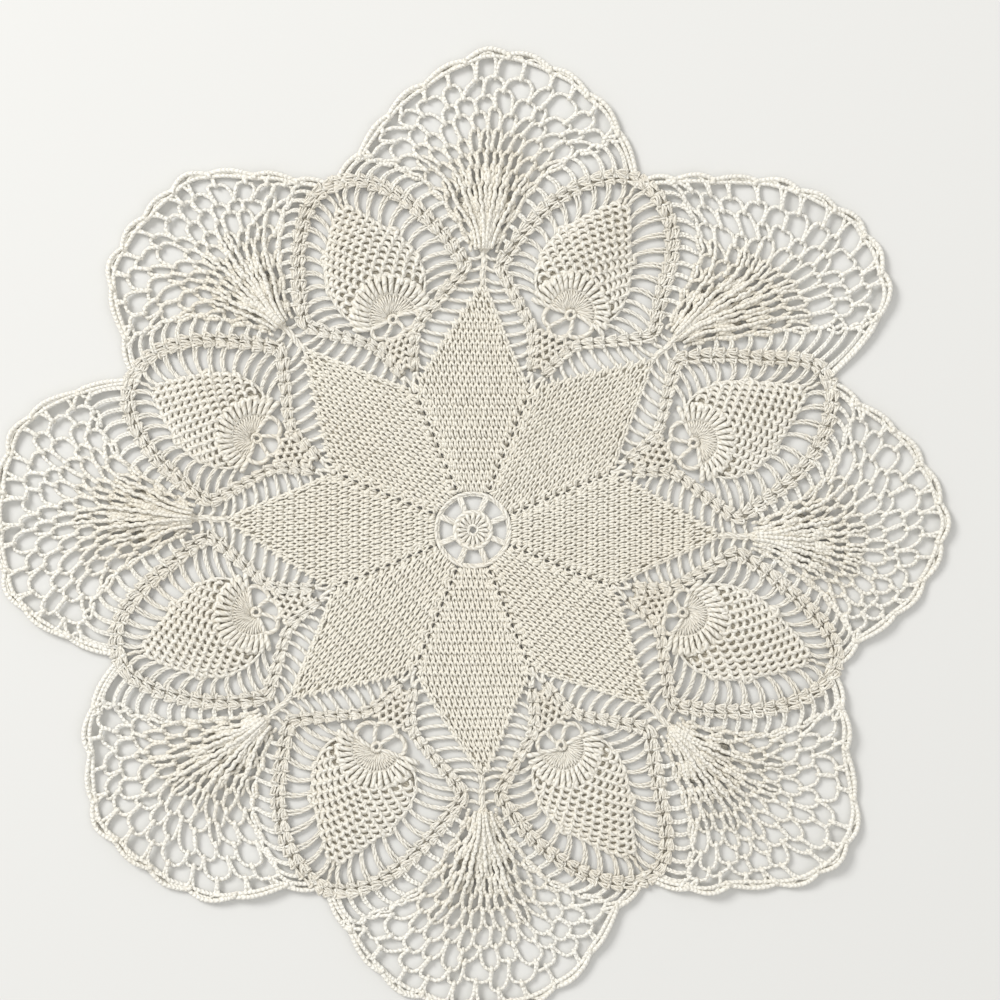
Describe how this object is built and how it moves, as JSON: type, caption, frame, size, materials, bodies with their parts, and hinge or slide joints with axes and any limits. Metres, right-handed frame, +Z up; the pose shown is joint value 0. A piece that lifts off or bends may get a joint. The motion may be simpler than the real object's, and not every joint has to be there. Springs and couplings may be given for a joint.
{
  "type": "lace doily",
  "caption": "Round crochet lace doily with scalloped lobes, lying flat: close diamonds round the centre, pineapple motifs and gathered fans of chain loops.",
  "frame": {"origin": "centre of the starting ring, on the underside, where the doily rests", "axes": "+Z up out of the table; the first diamond and lobe point along +X; lobes follow counter-clockwise"},
  "size_m": [0.5287, 0.5332, 0.0058],
  "materials": {
    "cotton": "matt cream crochet cotton, tightly twisted, with a faint sheen on the raised stitches"
  },
  "bodies": {
    "root": {"doily": "cotton"}
  },
  "joints": []
}
